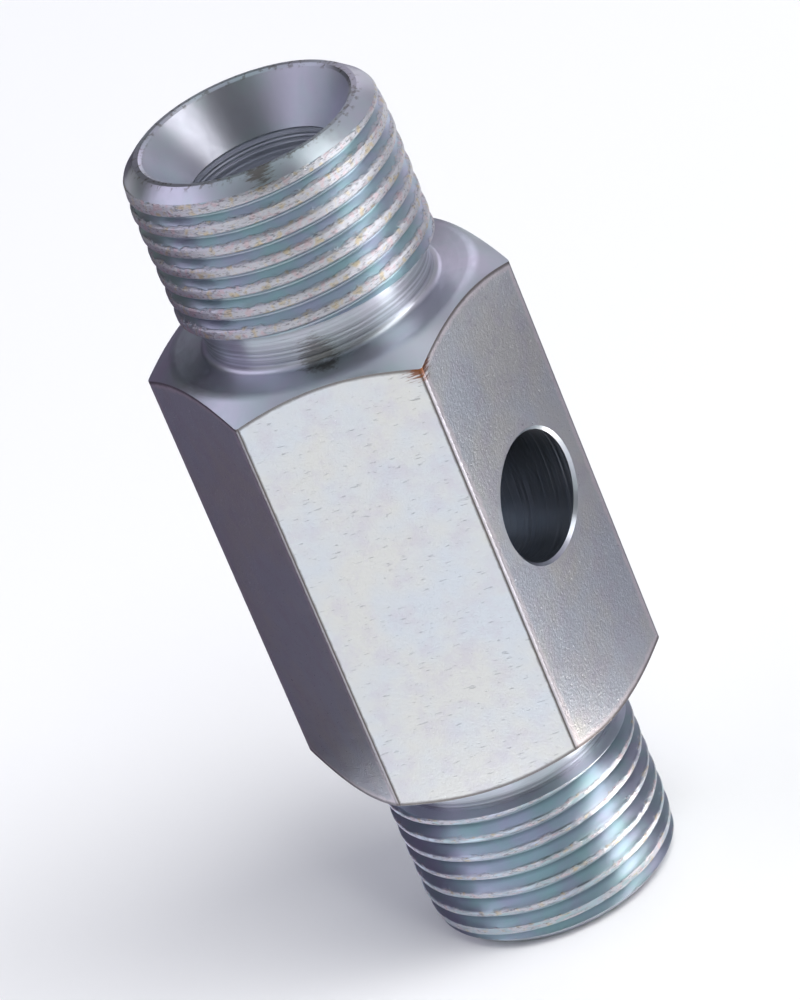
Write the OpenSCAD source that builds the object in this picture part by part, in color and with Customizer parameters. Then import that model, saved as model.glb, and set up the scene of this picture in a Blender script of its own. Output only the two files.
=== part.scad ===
// Hex pipe nipple with two male parallel pipe threads and a side port.
//
// The nipple is turned from one length of hexagonal bar. Both ends are turned
// down to a threaded stub with an undercut at its root, the corners of the
// hexagon are chamfered on the lathe, a bore runs through from end to end with
// a conical seat at each mouth, and a port is drilled into one flat.
//
// It stands on its lower end face, with the bore along Z and the port facing
// the front, towards -Y. The origin is the centre of the lower end face.

/* [Hexagonal body] */
// Width of the bar across two opposite flats
across_flats = 25.4; // [24:0.1:32]
// Length of the body from one shoulder to the other
body_length = 38; // [30:0.5:60]
// Outer diameter of the flat ring that is faced on each shoulder
shoulder_d = 24.6; // [22:0.1:25.2]
// Slope of the corner chamfers, measured from the shoulder
corner_angle = 32; // [15:1:45]

/* [Threaded stubs] */
// Length of each stub from its shoulder to its end face
stub_length = 16.3; // [12:0.1:24]
// Diameter over the crests of the thread
thread_d = 20.8; // [20.6:0.05:21.2]
// Diameter at the bottom of the thread
thread_root_d = 18.6; // [18.5:0.05:19]
// Distance from one ridge of the thread to the next
thread_pitch = 1.814; // [1.75:0.001:2.2]
// Angle between the two sides of a ridge
thread_angle = 55; // [50:1:60]
// Width of the flat on top of each ridge
crest_width = 0.4; // [0.2:0.05:0.5]
// Size of the 45 degree chamfer at each end face
end_chamfer = 1.3; // [0.6:0.1:1.5]

/* [Undercuts] */
// Width of the groove between each shoulder and the thread
undercut_width = 3.2; // [2.4:0.1:5]
// Diameter at the bottom of the groove
undercut_d = 18.4; // [17.6:0.1:18.5]
// Radius that blends the groove into the shoulder
undercut_fillet = 0.6; // [0.3:0.05:1]

/* [Bore and seats] */
// Diameter of the through bore
bore_d = 12; // [10.4:0.1:14]
// Diameter of each conical seat at the end face
mouth_d = 16.7; // [15.4:0.1:17.4]
// Full angle of the conical seats
seat_angle = 60; // [50:1:90]

/* [Side port] */
// Diameter of the port
port_d = 10.2; // [6:0.1:11.8]
// Height of the port's axis above the lower end face
port_height = 36.3; // [30:0.1:42]
// Size of the 45 degree chamfer that breaks the port's edge
port_chamfer = 0.25; // [0.1:0.05:0.8]

/* [Hidden] */
$fn = 96;

total_length = body_length + 2 * stub_length;
corner_r = across_flats / 2 / cos(30);
thread_r = thread_d / 2;
root_r = thread_root_d / 2;
undercut_r = undercut_d / 2;
shoulder_r = shoulder_d / 2;
mouth_r = mouth_d / 2;
bore_r = bore_d / 2;
port_r = port_d / 2;

// Axial run of one side of a ridge, for a given radial height
function flank_run(height) = height * tan(thread_angle / 2);

// Half the width of a thread groove at its bottom, where two ridges meet
root_half = (thread_pitch - crest_width) / 2 - flank_run(thread_r - root_r);

// Grooves lie one pitch apart, and the last is clear of the end chamfer
groove_count = 1 + floor((stub_length - end_chamfer - undercut_width) / thread_pitch);

// Cutters pass this far beyond the surfaces that they cut through
overcut = 1;

zinc_plate = "#b9bec6";

// Half-section of the groove between two ridges, on the stub's outline
module groove_section() {
    top_half = root_half + flank_run(thread_r + overcut - root_r);
    polygon([
        [root_r, -root_half],
        [thread_r + overcut, -top_half],
        [thread_r + overcut, top_half],
        [root_r, root_half]
    ]);
}

// Half-section of the undercut, with its fillet against the shoulder at y = 0
module undercut_section() {
    difference() {
        translate([undercut_r, 0])
            square([thread_r + overcut - undercut_r, undercut_width]);
        difference() {
            translate([undercut_r, 0])
                square(undercut_fillet);
            translate([undercut_r + undercut_fillet, undercut_fillet])
                circle(r = undercut_fillet);
        }
    }
}

// Half-section of one stub. Its shoulder is at y = 0 and its end face on top
module stub_section() {
    difference() {
        polygon([
            [0, 0],
            [thread_r, 0],
            [thread_r, stub_length - end_chamfer],
            [thread_r - end_chamfer, stub_length],
            [0, stub_length]
        ]);
        undercut_section();
        for (i = [0 : groove_count - 1])
            translate([0, undercut_width + i * thread_pitch])
                groove_section();
    }
}

// Half-section of the body between its shoulders. It is wider than the bar,
// so that its sloping ends chamfer the six corners and leave the flats alone
module body_section() {
    turned_r = corner_r + overcut;
    slope = (turned_r - shoulder_r) * tan(corner_angle);
    polygon([
        [0, 0],
        [shoulder_r, 0],
        [turned_r, slope],
        [turned_r, body_length - slope],
        [shoulder_r, body_length],
        [0, body_length]
    ]);
}

// Half-section of the bore and of the conical seats at its two mouths
module bore_section() {
    flare = tan(seat_angle / 2);
    seat_depth = (mouth_r - bore_r) / flare;
    polygon([
        [0, -overcut],
        [mouth_r + overcut * flare, -overcut],
        [bore_r, seat_depth],
        [bore_r, total_length - seat_depth],
        [mouth_r + overcut * flare, total_length + overcut],
        [0, total_length + overcut]
    ]);
}

// Half-section of everything that is turned, from the lower end face up
module turned_section() {
    difference() {
        union() {
            translate([0, stub_length])
                mirror([0, 1])
                    stub_section();
            translate([0, stub_length])
                body_section();
            translate([0, stub_length + body_length])
                stub_section();
        }
        bore_section();
    }
}

// Hexagonal bar that the nipple is cut from, with one flat facing -Y
module bar_stock() {
    translate([0, 0, -overcut])
        cylinder(r = corner_r, h = total_length + 2 * overcut, $fn = 6);
}

// Port drilled square to the front flat, from outside into the bore
module side_port() {
    translate([0, 0, port_height])
        rotate([90, 0, 0]) {
            cylinder(r = port_r, h = across_flats);
            translate([0, 0, across_flats / 2 - port_chamfer])
                cylinder(r1 = port_r, r2 = port_r + port_chamfer + overcut,
                         h = port_chamfer + overcut);
        }
}

module nipple() {
    color(zinc_plate)
        difference() {
            intersection() {
                bar_stock();
                rotate_extrude()
                    turned_section();
            }
            side_port();
        }
}

nipple();
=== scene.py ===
# %% [markdown]
# # A zinc-plated pipe nipple
#
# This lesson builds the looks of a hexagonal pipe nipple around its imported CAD
# part. The real thing is turned from one length of hexagonal steel bar, so the
# model is made the same way: a bar, a lathe, a drill and a threading tool. The
# plating is then painted on, one finish for each way that the steel was cut.

# %% Load the CAD part as the frame
import math

import bmesh
import bpy
from mathutils import Matrix, Vector


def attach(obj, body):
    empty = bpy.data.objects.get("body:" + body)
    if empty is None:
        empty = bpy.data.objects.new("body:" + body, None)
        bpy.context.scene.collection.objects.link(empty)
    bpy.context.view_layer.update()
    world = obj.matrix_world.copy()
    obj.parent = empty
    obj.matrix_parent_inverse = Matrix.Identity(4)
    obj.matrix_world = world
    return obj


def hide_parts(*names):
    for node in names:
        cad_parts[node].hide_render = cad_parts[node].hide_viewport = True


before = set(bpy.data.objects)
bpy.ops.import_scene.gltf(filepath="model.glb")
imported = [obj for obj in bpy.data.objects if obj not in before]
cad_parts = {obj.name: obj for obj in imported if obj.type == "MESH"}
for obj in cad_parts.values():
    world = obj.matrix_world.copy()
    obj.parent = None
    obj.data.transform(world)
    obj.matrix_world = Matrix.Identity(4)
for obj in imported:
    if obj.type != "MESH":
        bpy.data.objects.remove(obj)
bpy.context.view_layer.update()

# %% [markdown]
# ## The camera
#
# The photograph looks down on the nipple at about 27 degrees through a long
# lens, and the camera is rolled, so the nipple leans in the picture while it
# stands upright here. The camera could be aimed with a constraint, but its
# direction and its roll are plain numbers, so they are written down as such.

# %% Place the camera
MM = 0.001
CAMERA_PLACE = Vector((-301.8, -253.42, 239.63)) * MM
CAMERA_AZIMUTH = math.radians(-139.954)
CAMERA_ELEVATION = math.radians(27.284)
CAMERA_ROLL = math.radians(-22.769)

bpy.ops.object.select_all(action="DESELECT")
bpy.ops.object.camera_add(location=CAMERA_PLACE)
camera = bpy.context.object
camera.name = "long_lens_camera"
towards_camera = Vector((
    math.cos(CAMERA_AZIMUTH) * math.cos(CAMERA_ELEVATION),
    math.sin(CAMERA_AZIMUTH) * math.cos(CAMERA_ELEVATION),
    math.sin(CAMERA_ELEVATION),
))
camera.rotation_euler = (
    towards_camera.to_track_quat("Z", "Y").to_matrix()
    @ Matrix.Rotation(CAMERA_ROLL, 3, "Z")
).to_euler()
# A long lens, in millimetres, over a sensor 36 mm wide
camera.data.lens = 206.76
camera.data.sensor_width = 36
camera.data.clip_start = 0.05
camera.data.clip_end = 20
bpy.context.scene.camera = camera
print("camera turned by", [round(math.degrees(a), 3) for a in camera.rotation_euler])

# %% [markdown]
# ## Sizes of the nipple
#
# These are the sizes of the CAD part, in millimetres. The visual model keeps
# them all. It adds what the CAD part leaves out: rounded edges and a thread
# that really winds.

# %% Write the sizes down
ACROSS_FLATS = 25.4
CORNER_R = ACROSS_FLATS / 2 / math.cos(math.radians(30))
LENGTH = 70.6
LOWER_SHOULDER, UPPER_SHOULDER = 16.3, 54.3
SHOULDER_R = 12.3
CORNER_SLOPE = math.tan(math.radians(32))
THREAD_R, ROOT_R, UNDERCUT_R = 10.4, 9.3, 9.2
UNDERCUT_WIDTH, UNDERCUT_FILLET = 3.2, 0.6
END_CHAMFER = 1.3
BORE_R, MOUTH_R = 6.0, 8.35
SEAT_DEPTH = (MOUTH_R - BORE_R) / math.tan(math.radians(30))
PITCH = 1.814
PORT_R, PORT_HEIGHT, PORT_CHAMFER = 5.1, 36.3, 0.25
print("corner radius %.2f mm, seat depth %.2f mm" % (CORNER_R, SEAT_DEPTH))

# %% [markdown]
# ## Turning the blank
#
# Spin is Blender's lathe. Half of the nipple's section is drawn as a chain of
# edges, by extruding one vertex from point to point, and the chain is then
# spun round the Z axis. A chain gives exact control of every chamfer, seat and
# fillet, which stacking cylinders would not. The body is turned wider than the
# bar here, so that its 32 degree ends will chamfer only the corners.

# %% Round the undercut into the shoulder
FILLET_STEPS = 6


def fillet(sign, shoulder):
    """The undercut's quarter round, from the groove's wall to the shoulder."""
    points = []
    for step in range(FILLET_STEPS + 1):
        turn = math.radians(90 * step / FILLET_STEPS)
        points.append((
            UNDERCUT_R + UNDERCUT_FILLET * (1 - math.cos(turn)),
            shoulder + sign * UNDERCUT_FILLET * (1 - math.sin(turn)),
        ))
    return points


print("the undercut's fillet, in mm:", fillet(1, UPPER_SHOULDER)[0::FILLET_STEPS])

# %% Blend the shoulder's ring into the chamfer
BLEND_R, BLEND_STEPS = 1.8, 5


def blend(sign, shoulder):
    """The soft corner between a shoulder's flat ring and its sloping chamfer."""
    slope = math.atan(CORNER_SLOPE)
    points = []
    for step in range(BLEND_STEPS + 1):
        turn = slope * step / BLEND_STEPS
        points.append((
            SHOULDER_R - BLEND_R * math.tan(slope / 2) + BLEND_R * math.sin(turn),
            shoulder - sign * BLEND_R * (1 - math.cos(turn)),
        ))
    return points


print("the shoulder's blend, in mm:", blend(1, UPPER_SHOULDER)[0::BLEND_STEPS])

# %% Draw the half-section
# The crests beside each rim are worn, from WORN_LENGTH up to the end chamfer
EDGE_BREAK = 0.16
WORN_CREST_R, WORN_LENGTH = 10.15, 3.4
WORN_CORNER_R = WORN_CREST_R - 0.15
WORN_CORNER_RISE = 0.1
BEYOND_CORNER_R = CORNER_R + 1


def stub(sign, shoulder, end):
    """Outline of one stub, from its end face to its shoulder."""
    land_r = THREAD_R - END_CHAMFER
    return [
        (MOUTH_R + EDGE_BREAK, end),
        (land_r - EDGE_BREAK, end),
        (land_r + EDGE_BREAK, end - sign * 1.5 * EDGE_BREAK),
        (WORN_CORNER_R, end - sign * (WORN_CORNER_R - land_r)),
        (WORN_CREST_R, end - sign * (WORN_CREST_R + WORN_CORNER_RISE - land_r)),
        (THREAD_R, end - sign * WORN_LENGTH),
        (THREAD_R, shoulder + sign * UNDERCUT_WIDTH),
        (UNDERCUT_R, shoulder + sign * UNDERCUT_WIDTH),
        *fillet(sign, shoulder),
        *blend(sign, shoulder),
        (BEYOND_CORNER_R,
         shoulder - sign * (BEYOND_CORNER_R - SHOULDER_R) * CORNER_SLOPE),
    ]


seat_run = math.tan(math.radians(30))
half_section = [
    *stub(-1, LOWER_SHOULDER, 0),
    *reversed(stub(1, UPPER_SHOULDER, LENGTH)),
    (MOUTH_R - EDGE_BREAK * seat_run, LENGTH - EDGE_BREAK),
    (BORE_R, LENGTH - SEAT_DEPTH),
    (BORE_R, SEAT_DEPTH),
    (MOUTH_R - EDGE_BREAK * seat_run, EDGE_BREAK),
]
print("half-section of", len(half_section), "points")

# %% Draw a chain of edges, as by hand
def draw_chain(name, points):
    """A closed chain of edges through (radius, height) points in mm, at X > 0."""
    bpy.ops.object.select_all(action="DESELECT")
    bpy.ops.mesh.primitive_plane_add(size=MM)
    chain = bpy.context.object
    chain.name = name
    places = [Vector((r, 0, z)) * MM for r, z in points]
    bpy.ops.object.mode_set(mode="EDIT")
    bpy.ops.mesh.merge(type="CENTER")
    bpy.ops.transform.translate(value=places[0])
    for here, there in zip(places, places[1:] + places[:1]):
        bpy.ops.mesh.extrude_region_move(
            TRANSFORM_OT_translate={"value": there - here})
    bpy.ops.mesh.select_all(action="SELECT")
    bpy.ops.mesh.remove_doubles(threshold=0.001 * MM)
    bpy.ops.object.mode_set(mode="OBJECT")
    return chain


nipple = draw_chain("nipple_turned", half_section)
print("chain:", len(nipple.data.edges), "edges")

# %% Spin the chain into the blank
LATHE_STEPS = 144


def close_and_face_out(piece):
    """Merges doubles and turns every face outwards."""
    bpy.ops.object.mode_set(mode="EDIT")
    bpy.ops.mesh.select_all(action="SELECT")
    bpy.ops.mesh.remove_doubles(threshold=0.0005 * MM)
    bpy.ops.mesh.normals_make_consistent(inside=False)
    bpy.ops.object.mode_set(mode="OBJECT")
    return piece


def spin_round(chain, steps):
    """Spins a chain of edges once round the Z axis, into a closed shell."""
    bpy.ops.object.mode_set(mode="EDIT")
    bpy.ops.mesh.select_all(action="SELECT")
    bpy.ops.mesh.spin(
        steps=steps, angle=2 * math.pi, center=(0, 0, 0), axis=(0, 0, 1))
    bpy.ops.object.mode_set(mode="OBJECT")
    return close_and_face_out(chain)


spin_round(nipple, LATHE_STEPS)
print("blank:", len(nipple.data.polygons), "faces")

# %% [markdown]
# ## The hexagonal bar
#
# Drawn hexagonal bar has corners rounded by about a quarter of a millimetre,
# and the photograph shows them as pale strips. A six-sided cylinder is the bar.
# Its six long edges get a real bevel before anything is cut from it, because
# one clean bevel on a prism is safer than one across cut faces.

# %% Bevel the bar's six long edges
BAR_CORNER_BEVEL = 0.24
BAR_CORNER_SEGMENTS = 4
BAR_OVERLENGTH = 2.0
LONG_EDGE = 10


def select_where(piece, wanted, kind="edges"):
    """In edit mode, selects only the edges or faces that pass a test."""
    bpy.ops.mesh.select_all(action="DESELECT")
    mesh = bmesh.from_edit_mesh(piece.data)
    found = 0
    for part in getattr(mesh, kind):
        if wanted(part):
            part.select_set(True)
            found += 1
    bmesh.update_edit_mesh(piece.data)
    return found


bpy.ops.object.select_all(action="DESELECT")
bpy.ops.mesh.primitive_cylinder_add(
    vertices=6, radius=CORNER_R * MM, depth=(LENGTH + BAR_OVERLENGTH) * MM,
    location=(0, 0, LENGTH / 2 * MM), rotation=(0, 0, math.radians(30)))
bar = bpy.context.object
bpy.ops.object.transform_apply(location=True, rotation=True, scale=True)
bpy.ops.object.mode_set(mode="EDIT")
long_edges = select_where(
    bar, lambda e: abs(e.verts[0].co.z - e.verts[1].co.z) > LONG_EDGE * MM)
bpy.ops.mesh.bevel(
    offset=BAR_CORNER_BEVEL * MM, segments=BAR_CORNER_SEGMENTS, affect="EDGES")
bpy.ops.object.mode_set(mode="OBJECT")
print("bevelled", long_edges, "edges of the bar")

# %% Cut the blank to the bar
def select_only(piece):
    """Selects one piece, makes it active and deselects the rest."""
    bpy.ops.object.select_all(action="DESELECT")
    bpy.context.view_layer.objects.active = piece
    piece.select_set(True)


def cut(piece, tool, operation):
    """Applies a boolean cut with another mesh, and removes that mesh."""
    select_only(piece)
    step = piece.modifiers.new("cut", "BOOLEAN")
    step.operation, step.solver, step.object = operation, "EXACT", tool
    bpy.ops.object.modifier_apply(modifier=step.name)
    bpy.data.objects.remove(tool)
    return piece


cut(nipple, bar, "INTERSECT")
print("blank cut to the bar:", len(nipple.data.polygons), "faces")

# %% [markdown]
# ## The side port
#
# The port is drilled square to one flat, from outside into the bore. A drill
# leaves a plain round hole, so the cutter is a cylinder, with a short cone on
# its outer end that breaks the edge. The edge could be bevelled after the cut,
# but a cone gives the exact chamfer in one step. One end of the drill stops on
# the axis, so it goes through one wall only.

# %% Drill the port
DRILL_STEPS = 96
DRILL_OVERLENGTH = 1.0
flat = ACROSS_FLATS / 2
drill = draw_chain("drill", [
    (0, 0), (PORT_R, 0), (PORT_R, flat - PORT_CHAMFER),
    (PORT_R + PORT_CHAMFER, flat),
    (PORT_R + PORT_CHAMFER, flat + DRILL_OVERLENGTH), (0, flat + DRILL_OVERLENGTH),
])
spin_round(drill, DRILL_STEPS)
drill.rotation_euler = (math.radians(90), 0, 0)
drill.location = (0, 0, PORT_HEIGHT * MM)
bpy.ops.object.transform_apply(location=True, rotation=True, scale=True)
cut(nipple, drill, "DIFFERENCE")
print("drilled:", len(nipple.data.polygons), "faces")

# %% [markdown]
# ## Softening the edges that the tools left
#
# No plated edge is razor sharp, and a bevel of a tenth of a millimetre is what
# catches the light there. The arcs between the flats and the chamfered corners
# are picked by the normals of the two faces that meet, and bevelled. A Bevel
# modifier could take every sharp edge, but the rims and the port have their
# chamfers already.

# %% Bevel the arcs
# A face's tilt is how much its normal looks up or down, from 0 to 1
ARC_BEVEL = 0.12
UPRIGHT_TILT, CHAMFER_TILT = 0.02, 0.6
BEYOND_STUBS_R = 11


def is_flat(face):
    """Is this face one of the bar's flats or rounded corners?"""
    return abs(face.normal.z) < UPRIGHT_TILT and (
        face.calc_center_median().xy.length > BEYOND_STUBS_R * MM)


def is_arc(edge):
    """Does this edge lie between a flat and a chamfered corner?"""
    if len(edge.link_faces) != 2:
        return False
    one, other = edge.link_faces
    tilts = [abs(face.normal.z) for face in (one, other)]
    return (is_flat(one) != is_flat(other)
            and min(tilts) < UPRIGHT_TILT and max(tilts) > CHAMFER_TILT)


bpy.ops.object.mode_set(mode="EDIT")
arcs = select_where(nipple, is_arc)
bpy.ops.mesh.bevel(
    offset=ARC_BEVEL * MM, segments=3, affect="EDGES", clamp_overlap=True)
bpy.ops.object.mode_set(mode="OBJECT")
print("bevelled", arcs, "edges:", len(nipple.data.polygons), "faces")

# %% [markdown]
# ## Cutting the threads
#
# Both ends have a right-hand thread of 1.814 mm pitch. A threading tool cuts a
# groove that climbs one pitch each turn, and leaves the ridge. The Screw
# modifier sweeps the tool's section in the same way, and the groove is then
# cut from the stub. A stack of rings would be simpler, but it would not run
# out into the undercut and the end chamfer as a real thread does. The tool's
# corners are rounded, so the ridges roll like the worn ones in the photograph,
# and a cone lifts the tool out of the steel before it would cut the rim.

# %% Shape the threading tool
# Each flank leans 27.5 degrees from the radius, which makes 55 between two
FLANK_SLOPE = math.tan(math.radians(27.5))
CREST_ROUND, ROOT_ROUND = 0.3, 0.12
LEAST_ROOT_HALF = 0.02
TOOL_OVERSHOOT = 0.2


def tool_section(crest_width):
    """Half of the tool's section: (radius, distance from the groove's middle)."""
    crest_r = THREAD_R + 0.01
    steep = math.radians(90 - 27.5)
    crest_edge = (PITCH - crest_width) / 2
    flank_top_r = crest_r - CREST_ROUND * (1 - math.cos(steep))
    flank_top = crest_edge - CREST_ROUND * math.sin(steep)
    # The root starts at full depth, and rises until the groove has a floor
    root_r = ROOT_R
    while True:
        flank_foot_r = root_r + ROOT_ROUND * (1 - math.cos(steep))
        flank_foot = flank_top - (flank_top_r - flank_foot_r) * FLANK_SLOPE
        root_half = flank_foot - ROOT_ROUND * math.sin(steep)
        if root_half > LEAST_ROOT_HALF:
            break
        root_r += 0.01
    points = []
    for share in (0, 0.5, 1):
        turn = steep * share
        points.append((root_r + ROOT_ROUND * (1 - math.cos(turn)),
                       root_half + ROOT_ROUND * math.sin(turn)))
    for share in (1, 0.75, 0.5, 0.25, 0):
        turn = steep * share
        points.append((crest_r - CREST_ROUND * (1 - math.cos(turn)),
                       crest_edge - CREST_ROUND * math.sin(turn)))
    points.append((crest_r + TOOL_OVERSHOOT, crest_edge + 0.01))
    print("thread root at radius %.2f mm" % root_r)
    return points


# %% Sweep the tool along the helix
THREAD_STEPS = 144
THREAD_TURNS = 9


def threading_tool(name, start, crest_width):
    """The space that the tool sweeps, from a height at angle 0 upwards."""
    half = tool_section(crest_width)
    outline = [(r, start + w) for r, w in half] + [
        (r, start - w) for r, w in reversed(half)]
    tool = draw_chain(name, outline)
    bpy.ops.object.mode_set(mode="EDIT")
    bpy.ops.mesh.select_all(action="SELECT")
    # Half a step of turn keeps the sweep's edges off the blank's own edges
    bpy.ops.transform.rotate(
        value=math.pi / THREAD_STEPS, orient_axis="Z", center_override=(0, 0, 0))
    bpy.ops.object.mode_set(mode="OBJECT")
    sweep = tool.modifiers.new("sweep", "SCREW")
    sweep.axis, sweep.angle, sweep.screw_offset = "Z", 2 * math.pi, PITCH * MM
    sweep.iterations = THREAD_TURNS
    sweep.steps = sweep.render_steps = THREAD_STEPS
    sweep.use_merge_vertices = False
    bpy.ops.object.modifier_apply(modifier=sweep.name)
    bpy.ops.object.mode_set(mode="EDIT")
    bpy.ops.mesh.select_all(action="DESELECT")
    bpy.ops.mesh.select_non_manifold()
    bpy.ops.mesh.fill_holes(sides=0)
    bpy.ops.object.mode_set(mode="OBJECT")
    return close_and_face_out(tool)


# The start sets where the ridges lie, and was read from the photograph
UPPER_START, LOWER_START = 56.555, -1.663
upper_tool = threading_tool("upper_tool", UPPER_START, crest_width=0.3)
print("upper tool:", len(upper_tool.data.polygons), "faces")

# %% Thread both stubs
# The cone starts 1.5 mm below the rim, and opens over the next 1.2 mm
RUN_OUT, OPENING = 1.5, 1.2
CONE_R, CONE_OVERLENGTH = THREAD_R + 0.6, 4


def run_out(sign, end):
    """A cone that lifts the tool out of the steel before it reaches the rim."""
    cone = draw_chain("run_out", [
        (0, end - sign * RUN_OUT), (ROOT_R, end - sign * RUN_OUT),
        (CONE_R, end - sign * (RUN_OUT - OPENING)),
        (CONE_R, end + sign * CONE_OVERLENGTH), (0, end + sign * CONE_OVERLENGTH),
    ])
    return spin_round(cone, DRILL_STEPS)


cut(upper_tool, run_out(1, LENGTH), "DIFFERENCE")
cut(nipple, upper_tool, "DIFFERENCE")
lower_tool = threading_tool("lower_tool", LOWER_START, crest_width=0.12)
cut(lower_tool, run_out(-1, 0), "DIFFERENCE")
cut(nipple, lower_tool, "DIFFERENCE")
close_and_face_out(nipple)
print("threaded:", len(nipple.data.polygons), "faces")

# %% [markdown]
# ## Smoothing
#
# Turned surfaces are round and the flats are flat, and smooth shading alone
# would bend the flats' light towards their rounded corners. The Weighted Normal
# modifier lets the largest face at each corner decide, which keeps a flat flat.
# Marking every sharp edge by hand would also work, but there are thousands.

# %% Smooth the turned surfaces
select_only(nipple)
bpy.ops.object.shade_smooth_by_angle(angle=math.radians(25))
even = nipple.modifiers.new("even_normals", "WEIGHTED_NORMAL")
even.keep_sharp = True
bpy.ops.object.modifier_apply(modifier=even.name)
print("triangles:", sum(len(p.vertices) - 2 for p in nipple.data.polygons))

# %% [markdown]
# ## Nodes and colours
#
# Every colour below is an sRGB hex value, as a painter would pick it, and one
# function turns it into the linear numbers that shaders use. Another adds a
# node, with its settings and its links, so that each recipe reads as a list.
# Nodes could be set up by hand in the shader editor, but a list can be read.

# %% Colours
def colour(hex_code):
    """An sRGB hex colour as the linear RGBA that the shaders use."""
    channels = [int(hex_code[i:i + 2], 16) / 255 for i in (1, 3, 5)]
    return tuple(c / 12.92 if c <= 0.04045 else ((c + 0.055) / 1.055) ** 2.4
                 for c in channels) + (1.0,)


print("white is", colour("#ffffff"))

# %% Nodes
def add_node(tree, kind, inputs=None, **settings):
    """Adds a node with its settings, and its inputs by name or by number.

    An input is a value, a socket, or another node, whose first output it takes.
    """
    node = tree.nodes.new(kind)
    for name, value in settings.items():
        setattr(node, name, value)
    in_use = [socket for socket in node.inputs if socket.enabled]
    for name, value in (inputs or {}).items():
        socket = in_use[name] if isinstance(name, int) else next(
            s for s in in_use if s.name == name)
        if isinstance(value, bpy.types.Node):
            value = next(s for s in value.outputs if s.enabled)
        if isinstance(value, bpy.types.NodeSocket):
            tree.links.new(value, socket)
        else:
            socket.default_value = value
    return node


def new_material(name):
    """An empty node material and its tree."""
    material = bpy.data.materials.new(name)
    material.use_nodes = True
    material.node_tree.nodes.clear()
    return material, material.node_tree


print("helpers:", add_node.__name__, new_material.__name__)

# %% [markdown]
# ## What the four finishes share
#
# One fitting went through one bath, so its finishes share their make-up: a film
# in two tints that drift into each other, soft stains, and tool rings that run
# round the axis. Each of these is set up once here. Node groups could hold
# them too, but a function is shorter, and its numbers stay with each finish.

# %% Place, and height off the middle
MID_HEIGHT = (UPPER_SHOULDER + LOWER_SHOULDER) / 2


def place_in_mm(tree):
    """Nodes for the place in mm, its height, and its distance from the axis."""
    coordinates = add_node(tree, "ShaderNodeTexCoord")
    place = add_node(tree, "ShaderNodeVectorMath", {
        0: coordinates.outputs["Object"], 1: (1000, 1000, 1000)}, operation="MULTIPLY")
    parts = add_node(tree, "ShaderNodeSeparateXYZ", {"Vector": place})
    level = add_node(tree, "ShaderNodeVectorMath", {
        0: place, 1: (1, 1, 0)}, operation="MULTIPLY")
    radius = add_node(tree, "ShaderNodeVectorMath", {0: level}, operation="LENGTH")
    return place, parts.outputs["Z"], radius.outputs["Value"]


def height_off_middle(tree, height):
    """How far a place lies above or below the nipple's middle, in mm."""
    above = add_node(tree, "ShaderNodeMath", {
        0: height, 1: MID_HEIGHT}, operation="SUBTRACT")
    return add_node(tree, "ShaderNodeMath", {0: above}, operation="ABSOLUTE")


print("the middle is", MID_HEIGHT, "mm high")

# %% Clouds in the film, and the way round the axis
def clouded_film(tree, place, cloud_mm, start, tints):
    """A film whose two tints drift into each other in clouds of one size."""
    clouds = add_node(tree, "ShaderNodeTexNoise", {
        "Vector": place, "Scale": 1 / cloud_mm, "Detail": 3.0, "Roughness": 0.6})
    cloud_edge = add_node(tree, "ShaderNodeMapRange", {
        "Value": clouds, "From Min": start, "From Max": 0.62})
    return add_node(tree, "ShaderNodeMix", {
        "Factor": cloud_edge, "A": colour(tints[0]), "B": colour(tints[1])},
        data_type="RGBA")


def round_the_axis(tree, place):
    """The direction that tool rings run in: the axis crossed with the place."""
    level = add_node(tree, "ShaderNodeVectorMath", {
        0: place, 1: (1, 1, 0)}, operation="MULTIPLY")
    around = add_node(tree, "ShaderNodeVectorMath", {
        0: (0, 0, 1), 1: level}, operation="CROSS_PRODUCT")
    return add_node(tree, "ShaderNodeVectorMath", {0: around}, operation="NORMALIZE")


print("recipes:", clouded_film.__name__, round_the_axis.__name__)

# %% Stains
def blotched(tree, base, place, centre, reach, hex_code, strength):
    """The base colour with one soft-edged, blotchy patch of another colour round a
    point in mm.
    """
    flattened = add_node(tree, "ShaderNodeVectorMath", {
        0: place, 1: (0.7, 0.7, 6)}, operation="MULTIPLY")
    blotches = add_node(tree, "ShaderNodeTexNoise", {
        "Vector": flattened, "Scale": 1.3, "Detail": 4.0, "Roughness": 0.65})
    wobble = add_node(tree, "ShaderNodeMath", {
        0: blotches, 1: reach * 2.6, 2: -reach * 1.3}, operation="MULTIPLY_ADD")
    away = add_node(tree, "ShaderNodeVectorMath", {
        0: place, 1: centre}, operation="DISTANCE")
    edge = add_node(tree, "ShaderNodeMath", {
        0: away.outputs["Value"], 1: wobble}, operation="ADD")
    amount = add_node(tree, "ShaderNodeMapRange", {
        "Value": edge, "From Min": reach, "From Max": reach * 0.4,
        "To Min": 0.0, "To Max": strength}, interpolation_type="SMOOTHSTEP")
    return add_node(tree, "ShaderNodeMix", {
        "Factor": amount, "A": base, "B": colour(hex_code)}, data_type="RGBA")


print("recipe:", blotched.__name__)

# %% [markdown]
# ## Zinc on the drawn flats
#
# The plating is blue-white passivated zinc: a few microns of zinc under a film
# that tints it blue, straw or lilac as its thickness changes. On the flats it
# lies on cold-drawn bar, whose skin is matt, grainy and marked with short
# dents that run across the bar. One image texture could hold all that, but
# noise at real sizes stays sharp at any distance. The plating is thin and worn
# along the edges, and a thin dark line of painted shade runs along the arcs.
# Both are found by their distance in millimetres.

# %% Coordinates and edge distances of the flats
bar_plate, tree = new_material("zinc_plate_on_drawn_bar")
place, height, radius = place_in_mm(tree)
HALF_BODY = (UPPER_SHOULDER - LOWER_SHOULDER) / 2
HALF_FLAT = CORNER_R / 2

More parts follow.
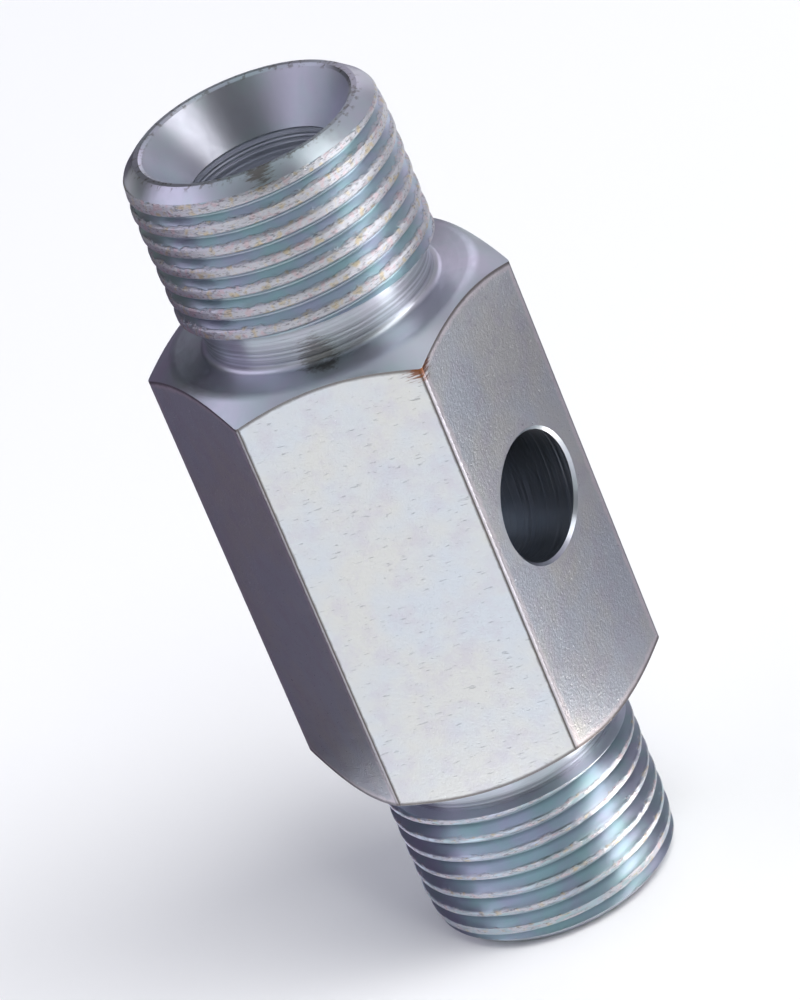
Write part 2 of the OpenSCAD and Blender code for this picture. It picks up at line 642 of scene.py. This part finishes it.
# Across a flat, the distance from its middle line comes from the radius
square = add_node(tree, "ShaderNodeMath", {
    0: radius, 1: radius, 2: -(ACROSS_FLATS / 2) ** 2}, operation="MULTIPLY_ADD")
square = add_node(tree, "ShaderNodeMath", {0: square, 1: 0.0}, operation="MAXIMUM")
from_middle = add_node(tree, "ShaderNodeMath", {0: square}, operation="SQRT")
to_corner = add_node(tree, "ShaderNodeMath", {
    0: HALF_FLAT, 1: from_middle}, operation="SUBTRACT")

# Along the bar, the arc lies lower the further it is from the axis
drop = add_node(tree, "ShaderNodeMath", {
    0: radius, 1: CORNER_SLOPE, 2: -SHOULDER_R * CORNER_SLOPE},
    operation="MULTIPLY_ADD")
off_middle = height_off_middle(tree, height)
reached = add_node(tree, "ShaderNodeMath", {0: off_middle, 1: drop}, operation="ADD")
to_arc = add_node(tree, "ShaderNodeMath", {
    0: HALF_BODY, 1: reached}, operation="SUBTRACT")
to_edge = add_node(tree, "ShaderNodeMath", {
    0: to_corner, 1: to_arc}, operation="MINIMUM")
print("the arcs start", round(HALF_BODY, 2), "mm from the middle of the bar")

# %% Film on the drawn flats
# Clouds of 7 mm shift the film from blue to straw, and smaller ones to lilac
film = clouded_film(tree, place, 7, 0.4, ("#d1d7dd", "#d7d8d5"))
patches = add_node(tree, "ShaderNodeTexNoise", {
    "Vector": place, "Scale": 1 / 2.2, "Detail": 4.0, "Roughness": 0.65})
patch_edge = add_node(tree, "ShaderNodeMapRange", {
    "Value": patches, "From Min": 0.48, "From Max": 0.68, "To Max": 0.55})
film = add_node(tree, "ShaderNodeMix", {
    "Factor": patch_edge, "A": film, "B": colour("#ccc9d2")}, data_type="RGBA")
print("film and patches: clouds of 7 and 2.2 mm")

# %% Dents
# They are 0.9 mm long across the bar and 0.15 mm high, few and far apart
stretched = add_node(tree, "ShaderNodeVectorMath", {
    0: place, 1: (1.1, 1.1, 6.0)}, operation="MULTIPLY")
dent_noise = add_node(tree, "ShaderNodeTexNoise", {
    "Vector": stretched, "Scale": 1.0, "Detail": 2.0, "Roughness": 0.5})
dents = add_node(tree, "ShaderNodeMapRange", {
    "Value": dent_noise, "From Min": 0.65, "From Max": 0.75},
    interpolation_type="SMOOTHSTEP")
dent_shade = add_node(tree, "ShaderNodeMath", {0: dents, 1: 0.3}, operation="MULTIPLY")
film = add_node(tree, "ShaderNodeMix", {
    "Factor": dent_shade, "A": film, "B": colour("#8f959c")}, data_type="RGBA")
print("dents: 0.9 mm long")

# %% Bright strips on the corners
# The plating has worn to a bright strip on each corner, but not on the flat
# that looks to -X and -Y, which has thin dark lines along its sides instead
front = (-math.cos(math.radians(30)), -0.5, 0)
reach = add_node(tree, "ShaderNodeVectorMath", {
    0: place, 1: front}, operation="DOT_PRODUCT")
on_front = add_node(tree, "ShaderNodeMapRange", {
    "Value": reach.outputs["Value"],
    "From Min": ACROSS_FLATS / 2 - 0.045, "From Max": ACROSS_FLATS / 2 - 0.02})
elsewhere = add_node(tree, "ShaderNodeMath", {
    0: 1.0, 1: on_front}, operation="SUBTRACT")
ragged = add_node(tree, "ShaderNodeTexNoise", {
    "Vector": place, "Scale": 1.1, "Detail": 4.0, "Roughness": 0.7})
wander = add_node(tree, "ShaderNodeMath", {
    0: ragged, 1: 0.9, 2: -0.45}, operation="MULTIPLY_ADD")
ragged_edge = add_node(tree, "ShaderNodeMath", {
    0: to_edge, 1: wander}, operation="ADD")
bright_strip = add_node(tree, "ShaderNodeMapRange", {
    "Value": ragged_edge, "From Min": 0.8, "From Max": 0.4, "To Max": 0.8},
    interpolation_type="SMOOTHSTEP")
bright_strip = add_node(tree, "ShaderNodeMath", {
    0: bright_strip, 1: elsewhere}, operation="MULTIPLY")
on_flat = add_node(tree, "ShaderNodeMapRange", {
    "Value": to_corner, "From Min": 0.17, "From Max": 0.3})
strip_film = add_node(tree, "ShaderNodeMix", {
    "Factor": on_flat, "A": colour("#aaa4aa"), "B": colour("#efe8ea")},
    data_type="RGBA")
film = add_node(tree, "ShaderNodeMix", {
    "Factor": bright_strip, "A": film, "B": strip_film}, data_type="RGBA")
print("bright strips: worn up to 0.8 mm from each edge")

# %% Dark lines, painted shade on the arcs, and rust
# A thin dark line runs along both sides of the same flat, and along the arcs
# a dark line of painted shade lies where each flat turns into its chamfer
line_start = add_node(tree, "ShaderNodeMath", {
    0: ragged, 1: 0.3, 2: 0.2}, operation="MULTIPLY_ADD")
corner_line = add_node(tree, "ShaderNodeMapRange", {
    "Value": to_corner, "From Min": line_start, "From Max": 0.2, "To Max": 0.9})
corner_line = add_node(tree, "ShaderNodeMath", {
    0: corner_line, 1: on_front}, operation="MULTIPLY")
# Painted shade along the arcs, where each flat turns into its chamfer
arc_shade_line = add_node(tree, "ShaderNodeMapRange", {
    "Value": to_arc, "From Min": line_start, "From Max": 0.16, "To Max": 0.75})
dark_line = add_node(tree, "ShaderNodeMath", {
    0: corner_line, 1: arc_shade_line}, operation="MAXIMUM")
# The dark colour holds the front flat's side lines and the painted shade on the arcs
film = add_node(tree, "ShaderNodeMix", {
    "Factor": dark_line, "A": film, "B": colour("#4c423e")}, data_type="RGBA")
rust_corner = (-CORNER_R / 2, -ACROSS_FLATS / 2, UPPER_SHOULDER - 1.4)
film = blotched(tree, film, place, rust_corner, 1.3, "#7a4a2c", 0.9)
print("rust at the corner", [round(c, 1) for c in rust_corner])

# %% Grain of the drawn flats
# The grain is drawn at 0.2 mm, coarser than the real one, so that it shows
grain = add_node(tree, "ShaderNodeTexNoise", {
    "Vector": place, "Scale": 1 / 0.22, "Detail": 3.0, "Roughness": 0.7})
roughness = add_node(tree, "ShaderNodeMapRange", {
    "Value": grain, "From Min": 0.3, "From Max": 0.7, "To Min": 0.27, "To Max": 0.39})
relief = add_node(tree, "ShaderNodeMath", {
    0: grain, 1: 0.04}, operation="MULTIPLY")
relief = add_node(tree, "ShaderNodeMath", {
    0: dents, 1: -0.02, 2: relief}, operation="MULTIPLY_ADD")
relief = add_node(tree, "ShaderNodeMath", {
    0: patches, 1: 0.03, 2: relief}, operation="MULTIPLY_ADD")
bump = add_node(tree, "ShaderNodeBump", {
    "Height": relief, "Distance": MM, "Strength": 1.0})
shader = add_node(tree, "ShaderNodeBsdfPrincipled", {
    "Base Color": film, "Metallic": 1.0, "Roughness": roughness, "Normal": bump})
add_node(tree, "ShaderNodeOutputMaterial", {"Surface": shader})
print(bar_plate.name, "has", len(tree.nodes), "nodes")

# %% [markdown]
# ## Zinc on the turned faces
#
# The shoulders, the corner chamfers, the undercuts, the rims and the conical
# seats come from a lathe tool. Its feed leaves rings finer than a hair, and
# they stretch every highlight across themselves. That is what the anisotropic
# setting is for, with a tangent that runs round the axis. Modelled rings would
# need millions of faces, so a bump stands in, and is deepest in the undercuts.

# %% Film, a dark patch and a stain on the turned faces
turned_plate, tree = new_material("zinc_plate_on_turned_steel")
place, height, radius = place_in_mm(tree)
film = clouded_film(tree, place, 4, 0.4, ("#c6c7d2", "#c2ccd2"))
# A dark brownish patch low in the upper undercut, on its side towards -X and -Y
undercut_dark_patch = (-8.1, -4.7, UPPER_SHOULDER + 0.6)
film = blotched(tree, film, place, undercut_dark_patch, 1.8, "#5e564a", 0.65)
rim_stain = (-7.4, -5.6, LENGTH)
film = blotched(tree, film, place, rim_stain, 1.2, "#66523f", 0.7)
print("stains at", undercut_dark_patch, "and", rim_stain)

# %% Tool rings
# Rings of tool feed, 0.26 mm apart: the noise only knows radius and height.
# Most real ones are finer, and they are drawn this coarse so that they show
ring_place = add_node(tree, "ShaderNodeCombineXYZ", {"X": radius, "Z": height})
rings = add_node(tree, "ShaderNodeTexNoise", {
    "Vector": ring_place, "Scale": 1 / 0.26, "Detail": 1.0, "Roughness": 0.5})
off_middle = height_off_middle(tree, height)
below_thread = add_node(tree, "ShaderNodeMapRange", {
    "Value": off_middle, "From Min": HALF_BODY + UNDERCUT_WIDTH + 0.3,
    "From Max": HALF_BODY + UNDERCUT_WIDTH + 0.1})
in_groove = add_node(tree, "ShaderNodeMapRange", {
    "Value": radius, "From Min": UNDERCUT_R + 0.3, "From Max": UNDERCUT_R + 0.05})
in_groove = add_node(tree, "ShaderNodeMath", {
    0: in_groove, 1: below_thread}, operation="MULTIPLY")
ring_height = add_node(tree, "ShaderNodeMapRange", {
    "Value": in_groove, "To Min": 0.003, "To Max": 0.05})
ring_line = add_node(tree, "ShaderNodeMapRange", {
    "Value": rings, "From Min": 0.52, "From Max": 0.66, "To Max": 0.4})
ring_line = add_node(tree, "ShaderNodeMath", {
    0: ring_line, 1: in_groove}, operation="MULTIPLY")
film = add_node(tree, "ShaderNodeMix", {
    "Factor": ring_line, "A": film, "B": colour("#70747c")}, data_type="RGBA")
print("tool rings: 0.26 mm apart, deepest in the undercuts")

# %% Chipped rims
# Knocks leave dark dashes where the plating has chipped off the rim
pits = add_node(tree, "ShaderNodeTexNoise", {
    "Vector": place, "Scale": 1 / 0.5, "Detail": 2.0, "Roughness": 0.6})
near_rim = add_node(tree, "ShaderNodeMapRange", {
    "Value": off_middle, "From Min": LENGTH / 2 - 0.3, "From Max": LENGTH / 2 - 0.1})
chipped = add_node(tree, "ShaderNodeMapRange", {
    "Value": pits, "From Min": 0.54, "From Max": 0.64, "To Max": 0.6})
chipped = add_node(tree, "ShaderNodeMath", {
    0: chipped, 1: near_rim}, operation="MULTIPLY")
film = add_node(tree, "ShaderNodeMix", {
    "Factor": chipped, "A": film, "B": colour("#6e655d")}, data_type="RGBA")
print("chips: about 0.5 mm, within 0.3 mm of each rim")

# %% Relief and shader of the turned faces
relief = add_node(tree, "ShaderNodeMath", {
    0: rings, 1: ring_height}, operation="MULTIPLY")
relief = add_node(tree, "ShaderNodeMath", {
    0: pits, 1: 0.004, 2: relief}, operation="MULTIPLY_ADD")
bump = add_node(tree, "ShaderNodeBump", {"Height": relief, "Distance": MM})
roughness = add_node(tree, "ShaderNodeMapRange", {
    "Value": pits, "From Min": 0.3, "From Max": 0.7, "To Min": 0.33, "To Max": 0.4})

# The seats are a little duller than the other turned faces
on_seat = add_node(tree, "ShaderNodeMapRange", {
    "Value": radius, "From Min": MOUTH_R + 0.1, "From Max": MOUTH_R - 0.1,
    "To Max": 0.08})
roughness = add_node(tree, "ShaderNodeMath", {
    0: roughness, 1: on_seat}, operation="ADD")
shader = add_node(tree, "ShaderNodeBsdfPrincipled", {
    "Base Color": film, "Metallic": 1.0, "Roughness": roughness, "Normal": bump,
    "Anisotropic": 0.7, "Anisotropic Rotation": 0.25,
    "Tangent": round_the_axis(tree, place)})
add_node(tree, "ShaderNodeOutputMaterial", {"Surface": shader})
print(turned_plate.name, "has", len(tree.nodes), "nodes")

# %% [markdown]
# ## Zinc on the threads
#
# The flanks are the smoothest steel here, and the film on them is thick, so
# they look blue-green. The crests are rubbed by every mating part. They are
# pale, dull and ragged, with specks of gold and pink where the film is torn.
# The crests are found by their distance from the axis, so the wear follows the
# helix by itself. It could be painted, but the thread would have to be unwrapped.

# %% Film in the grooves, with painted shade at the root
thread_plate, tree = new_material("zinc_plate_on_cut_thread")
place, height, radius = place_in_mm(tree)
film = clouded_film(tree, place, 3, 0.38, ("#aec3c8", "#b8bdcc"))
# Painted shade: the film darkens within 0.4 mm of the root, deep in each groove
depth = add_node(tree, "ShaderNodeMapRange", {
    "Value": radius, "From Min": ROOT_R + 0.4, "From Max": ROOT_R, "To Max": 0.5})
film = add_node(tree, "ShaderNodeMix", {
    "Factor": depth, "A": film, "B": colour("#76868e")}, data_type="RGBA")
print("film: clouds of 3 mm, darker within 0.4 mm of the root")

# %% Rubbed crests
# The wear is ragged, in streaks 1.5 mm long round the thread and 0.4 mm high
along = add_node(tree, "ShaderNodeVectorMath", {
    0: place, 1: (0.7, 0.7, 2.5)}, operation="MULTIPLY")
tears = add_node(tree, "ShaderNodeTexNoise", {
    "Vector": along, "Scale": 1.2, "Detail": 4.0, "Roughness": 0.65})
tear_edge = add_node(tree, "ShaderNodeMath", {
    0: tears, 1: 1.1, 2: -0.55}, operation="MULTIPLY_ADD")
crest_level = add_node(tree, "ShaderNodeMath", {
    0: radius, 1: tear_edge}, operation="ADD")

# The lower thread is less used, so its pale band is narrower
less_used = add_node(tree, "ShaderNodeMapRange", {
    "Value": height, "From Min": UPPER_SHOULDER, "From Max": LOWER_SHOULDER,
    "To Max": 0.2})
crest_level = add_node(tree, "ShaderNodeMath", {
    0: crest_level, 1: less_used}, operation="SUBTRACT")

# Beside each rim the crests are lower, and the wear has to follow them down
off_middle = height_off_middle(tree, height)
lower_crest = add_node(tree, "ShaderNodeMapRange", {
    "Value": off_middle, "From Min": LENGTH / 2 - WORN_LENGTH,
    "From Max": LENGTH / 2 - 1.2, "To Max": THREAD_R - WORN_CREST_R})
crest_level = add_node(tree, "ShaderNodeMath", {
    0: crest_level, 1: lower_crest}, operation="ADD")
worn = add_node(tree, "ShaderNodeMapRange", {
    "Value": crest_level, "From Min": THREAD_R - 0.3, "From Max": THREAD_R - 0.12},
    interpolation_type="SMOOTHSTEP")
print("crests worn from radius", round(THREAD_R - 0.3, 2), "mm")

# %% Specks and nicks on the crests
# Torn film shows gold where the specks' noise is high, and pink where it is low
specks = add_node(tree, "ShaderNodeTexNoise", {
    "Vector": place, "Scale": 1.4, "Detail": 2.0})
gold = add_node(tree, "ShaderNodeMapRange", {
    "Value": specks, "From Min": 0.56, "From Max": 0.68})
bare = add_node(tree, "ShaderNodeMix", {
    "Factor": gold, "A": colour("#cbccd2"), "B": colour("#cdc2ab")}, data_type="RGBA")
pink = add_node(tree, "ShaderNodeMapRange", {
    "Value": specks, "From Min": 0.44, "From Max": 0.34})
bare = add_node(tree, "ShaderNodeMix", {
    "Factor": pink, "A": bare, "B": colour("#cfc0c5")}, data_type="RGBA")
nicks = add_node(tree, "ShaderNodeTexNoise", {
    "Vector": along, "Scale": 3.2, "Detail": 3.0, "Roughness": 0.6})
nicked = add_node(tree, "ShaderNodeMapRange", {
    "Value": nicks, "From Min": 0.54, "From Max": 0.66, "To Max": 0.65})
bare = add_node(tree, "ShaderNodeMix", {
    "Factor": nicked, "A": bare, "B": colour("#737178")}, data_type="RGBA")
film = add_node(tree, "ShaderNodeMix", {
    "Factor": worn, "A": film, "B": bare}, data_type="RGBA")
film = blotched(tree, film, place, rim_stain, 1.6, "#6d5a48", 0.6)
print("specks and nicks on the crests, stain at the rim")

# %% Relief and shader of the threads
relief = add_node(tree, "ShaderNodeMath", {0: nicks, 1: 0.08}, operation="MULTIPLY")
relief = add_node(tree, "ShaderNodeMath", {0: relief, 1: worn}, operation="MULTIPLY")
fine = add_node(tree, "ShaderNodeTexNoise", {
    "Vector": along, "Scale": 1 / 0.3, "Detail": 2.0})
relief = add_node(tree, "ShaderNodeMath", {
    0: fine, 1: 0.008, 2: relief}, operation="MULTIPLY_ADD")
bump = add_node(tree, "ShaderNodeBump", {"Height": relief, "Distance": MM})
roughness = add_node(tree, "ShaderNodeMapRange", {
    "Value": worn, "To Min": 0.3, "To Max": 0.42})
shader = add_node(tree, "ShaderNodeBsdfPrincipled", {
    "Base Color": film, "Metallic": 1.0, "Roughness": roughness, "Normal": bump,
    "Anisotropic": 0.7, "Anisotropic Rotation": 0.25,
    "Tangent": round_the_axis(tree, place)})
add_node(tree, "ShaderNodeOutputMaterial", {"Surface": shader})
print(thread_plate.name, "has", len(tree.nodes), "nodes")

# %% [markdown]
# ## Zinc in the holes
#
# Plating reaches poorly into a hole. The port's wall is painted darker, as
# painted shade in the hole, and the bore's wall paler, as painted light that
# makes up for the light its wall misses. A drill leaves coarser rings than a
# lathe tool. They run round the bore at one height and round the port at one
# depth, so the pattern knows only those two numbers.
# The turned finish could serve here too, but it would shine far too brightly.

# %% Bore and port
hole_plate, tree = new_material("zinc_in_holes_painted_shade_and_light")
place, height, radius = place_in_mm(tree)
clouds = add_node(tree, "ShaderNodeTexNoise", {
    "Vector": place, "Scale": 1 / 3, "Detail": 3.0})
# Painted shade: these dark grey-blue tints darken the port's wall
film = add_node(tree, "ShaderNodeMix", {
    "Factor": clouds, "A": colour("#7d8793"), "B": colour("#95979e")}, data_type="RGBA")
in_bore = add_node(tree, "ShaderNodeMapRange", {
    "Value": radius, "From Min": BORE_R + 0.05, "From Max": BORE_R + 0.02})
# Painted light: the bore is painted paler than the port, because less light reaches its
# wall
film = add_node(tree, "ShaderNodeMix", {
    "Factor": in_bore, "A": film, "B": colour("#eef1f8")}, data_type="RGBA")
feed = add_node(tree, "ShaderNodeMix", {
    "Factor": in_bore, "A": radius, "B": height}, data_type="FLOAT")
rings = add_node(tree, "ShaderNodeTexNoise", {
    "W": feed, "Scale": 1 / 0.35, "Detail": 3.0}, noise_dimensions="1D")
relief = add_node(tree, "ShaderNodeMath", {0: rings, 1: 0.09}, operation="MULTIPLY")
bump = add_node(tree, "ShaderNodeBump", {"Height": relief, "Distance": MM})
shader = add_node(tree, "ShaderNodeBsdfPrincipled", {
    "Base Color": film, "Metallic": 1.0, "Roughness": 0.42, "Normal": bump})
add_node(tree, "ShaderNodeOutputMaterial", {"Surface": shader})
print(hole_plate.name, "has", len(tree.nodes), "nodes")

# %% [markdown]
# ## Giving each cut its finish
#
# The nipple is one piece of steel and one mesh, so the four finishes are given
# to faces. Each face is picked by where it lies and where it looks. Four meshes
# would be simpler to dress, but they would leave seams in a solid fitting.

# %% Tell the cuts apart
def face_facts(face):
    """A face's middle and radius in mm, and how much it looks up or down."""
    middle = face.calc_center_median() / MM
    return middle, math.hypot(middle.x, middle.y), abs(face.normal.z)


def is_thread(face):
    """Does this face lie on a ridge or in a groove of either thread?"""
    middle, r, tilt = face_facts(face)
    beyond_undercut = abs(middle.z - LENGTH / 2) - (
        LENGTH / 2 - (LOWER_SHOULDER - UNDERCUT_WIDTH))
    near_end = middle.z < END_CHAMFER or middle.z > LENGTH - END_CHAMFER
    # The 45 degree chamfers and the end faces are turned, not threaded
    on_rim = near_end and 0.55 < tilt < 0.8 or tilt > 0.97
    return beyond_undercut > -0.02 and r > UNDERCUT_R - 0.05 and not on_rim


def is_hole(face):
    """Does this face lie on the wall of the bore or of the port?"""
    middle, r, tilt = face_facts(face)
    from_port = math.hypot(middle.x, middle.z - PORT_HEIGHT)
    in_port = from_port < PORT_R + 0.02 and middle.y < 0 and r < ACROSS_FLATS / 2
    return r < BORE_R + 0.02 and tilt < 0.1 or in_port and abs(face.normal.y) < 0.1


print("faces to dress:", len(nipple.data.polygons))

# %% Assign the finishes
nipple.data.materials.clear()
for finish in (turned_plate, bar_plate, thread_plate, hole_plate):
    nipple.data.materials.append(finish)
bpy.ops.object.mode_set(mode="EDIT")
for slot, belongs in enumerate((is_flat, is_thread, is_hole), start=1):
    count = select_where(nipple, belongs, "faces")
    nipple.active_material_index = slot
    bpy.ops.object.material_slot_assign()
    print(count, "faces of", nipple.data.materials[slot].name)
bpy.ops.object.mode_set(mode="OBJECT")

# %% [markdown]
# ## Light and floor
#
# Metal shows its surroundings, so the studio matters as much as the plating. A
# pale floor is what the upright faces mirror, and one lamp that the metal can't
# see washes it evenly. Three bright softboxes on the right, one above another,
# put the streak on the seat, the rim, the threads and the undercut. Dim ones
# fill the front, the left, the right and the top. A single big lamp would be
# simpler, but it would flatten the turned faces.

# %% Floor
floor_paint, tree = new_material("pale_studio_floor")
shader = add_node(tree, "ShaderNodeBsdfDiffuse", {"Color": colour("#f4f4f4")})
add_node(tree, "ShaderNodeOutputMaterial", {"Surface": shader})
bpy.ops.object.select_all(action="DESELECT")
bpy.ops.mesh.primitive_circle_add(vertices=96, radius=4, fill_type="NGON")
floor = bpy.context.object
floor.name = "floor"
floor.data.materials.append(floor_paint)
print("floor of", floor.dimensions.x, "m")

# %% Softboxes
NIPPLE_MIDDLE = Vector((0, 0, 0.035))


def softbox(name, azimuth, elevation, distance, width, height, radiance, tint):
    """A rectangular lamp that faces the nipple, placed in degrees and metres.

    With a radiance of 1, the lamp itself would look white.
    """
    a, e = math.radians(azimuth), math.radians(elevation)
    way = Vector((
        math.cos(a) * math.cos(e), math.sin(a) * math.cos(e), math.sin(e)))
    bpy.ops.object.light_add(type="AREA", location=way * distance + NIPPLE_MIDDLE)
    lamp = bpy.context.object
    lamp.name = name
    lamp.rotation_euler = way.to_track_quat("Z", "Y").to_euler()
    lamp.data.shape = "RECTANGLE"
    lamp.data.size, lamp.data.size_y = width, height
    lamp.data.energy = radiance * math.pi * width * height
    lamp.data.color = colour(tint)[:3]
    return lamp


floor_wash = softbox("floor_wash", -100, 60, 2.2, 1.4, 1.2, 6.2, "#ffffff")
floor_wash.visible_glossy = False
softbox("streak", -78, 27, 2.2, 1.15, 1.3, 2.2, "#ffffff")
softbox("streak_high", -76, 53, 2.2, 1.0, 0.6, 2.4, "#ffffff")
softbox("streak_low", -68, 9, 2.2, 0.8, 0.5, 5.0, "#ffffff")
softbox("front_fill", -168, 6, 2.2, 1.6, 0.9, 0.5, "#ffffff")
softbox("left_fill", 135, 36, 2.2, 3.7, 1.9, 0.55, "#ebe6fc")
softbox("left_high", 120, 42, 2.1, 2.0, 0.9, 0.85, "#ebe6fc")
softbox("right_fill", -10, 34, 2.2, 3.5, 1.4, 0.52, "#f0ecfc")
softbox("top", 40, 79, 2.2, 2.2, 2.2, 0.6, "#e8f6ff")

# %% [markdown]
# ## What only the metal sees
#
# A glossy table mirrors the softboxes, and a photographer stands dark cards
# beside polished metal to give its faces different tones. The floor here is
# plain, so lamps that lie on it stand in for those mirror images, and a small
# one above it lights the right side of the shoulder. They and the cards are
# hidden from everything but the metal's reflections. Painting the tones on the
# faces would be simpler, but they would not move with the view.

# %% Lamps on the floor and above it
def low_light(name, azimuth, distance, width, depth, radiance, tint="#ffffff"):
    """A lamp that lies on the floor and looks up. Only the metal sees it."""
    a = math.radians(azimuth)
    lamp = softbox(name, azimuth, 90, 1, width, depth, radiance, tint)
    lamp.location = (math.cos(a) * distance, math.sin(a) * distance, MM)
    lamp.rotation_euler = (math.radians(180), 0, a + math.radians(90))
    lamp.visible_camera = lamp.visible_diffuse = False


low_light("low_streak_near", -81, 0.022, 0.013, 0.016, 6.2, "#fff1e6")
low_light("low_streak_far", -79.5, 0.108, 0.028, 0.100, 4.0)
low_light("low_streak_side", -62, 0.130, 0.026, 0.038, 4.0)
low_light("low_fill", 95, 0.0215, 0.044, 0.010, 0.95, "#dcd8f4")
low_light("low_front", -175, 0.0235, 0.030, 0.010, 1.0, "#e4e8f8")
shoulder_light = softbox(
    "shoulder_light", 17, 37, 0.0956, 0.042, 0.028, 0.95, "#f2eafc")
shoulder_light.visible_camera = shoulder_light.visible_diffuse = False

# %% Cards
def card(name, azimuth, distance, width, height, hex_code, lying=False):
    """A card that stands or lies on the floor. Only the metal sees it."""
    a = math.radians(azimuth)
    paint, paint_tree = new_material(name + "_paper")
    surface = add_node(paint_tree, "ShaderNodeBsdfDiffuse", {"Color": colour(hex_code)})
    add_node(paint_tree, "ShaderNodeOutputMaterial", {"Surface": surface})
    bpy.ops.object.select_all(action="DESELECT")
    bpy.ops.mesh.primitive_plane_add(
        size=1, location=(math.cos(a) * distance, math.sin(a) * distance,
                          MM if lying else height / 2),
        rotation=(0 if lying else math.radians(90), 0, a + math.radians(90)))
    sheet = bpy.context.object
    sheet.name = name
    sheet.scale = (width, height, 1)
    sheet.data.materials.append(paint)
    sheet.visible_camera = sheet.visible_diffuse = sheet.visible_shadow = False


card("black_card", 80, 0.04, 0.13, 0.065, "#625a6b")
card("black_card_foot", 80, 0.036, 0.11, 0.010, "#2e2739", lying=True)
card("tall_card", 59, 0.0445, 0.021, 0.09, "#2c2c34")
card("grey_card", -38, 0.045, 0.064, 0.045, "#9a98a1")
card("grey_card_foot", -38, 0.037, 0.064, 0.016, "#9a98a1", lying=True)

# %% [markdown]
# ## The room around the studio
#
# What the lamps leave out, the room lights. It glows near the horizon, as pale
# walls would, and is dark above, so that the softboxes stand out in the metal.
# An even grey world would be simpler, but the turned faces would lose their
# contrast.

# %% World
world = bpy.context.scene.world or bpy.data.worlds.new("studio")
bpy.context.scene.world = world
world.use_nodes = True
tree = world.node_tree
tree.nodes.clear()
way = add_node(tree, "ShaderNodeTexCoord")
parts = add_node(tree, "ShaderNodeSeparateXYZ", {"Vector": way.outputs["Generated"]})
steep = add_node(tree, "ShaderNodeMath", {0: parts.outputs["Z"]}, operation="ABSOLUTE")
glow = add_node(tree, "ShaderNodeMapRange", {
    "Value": steep, "From Min": 0.06, "From Max": 0.2, "To Min": 0.65, "To Max": 0.1},
    interpolation_type="SMOOTHSTEP")
ambient = add_node(tree, "ShaderNodeBackground", {
    "Color": colour("#ffffff"), "Strength": glow})
add_node(tree, "ShaderNodeOutputWorld", {"Surface": ambient})
bpy.context.scene.view_settings.view_transform = "Standard"
print("world: strength 0.65 at the horizon and 0.1 above")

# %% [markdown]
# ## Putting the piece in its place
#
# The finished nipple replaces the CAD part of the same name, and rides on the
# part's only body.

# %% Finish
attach(nipple, "root")
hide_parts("nipple")

bpy.context.view_layer.update()
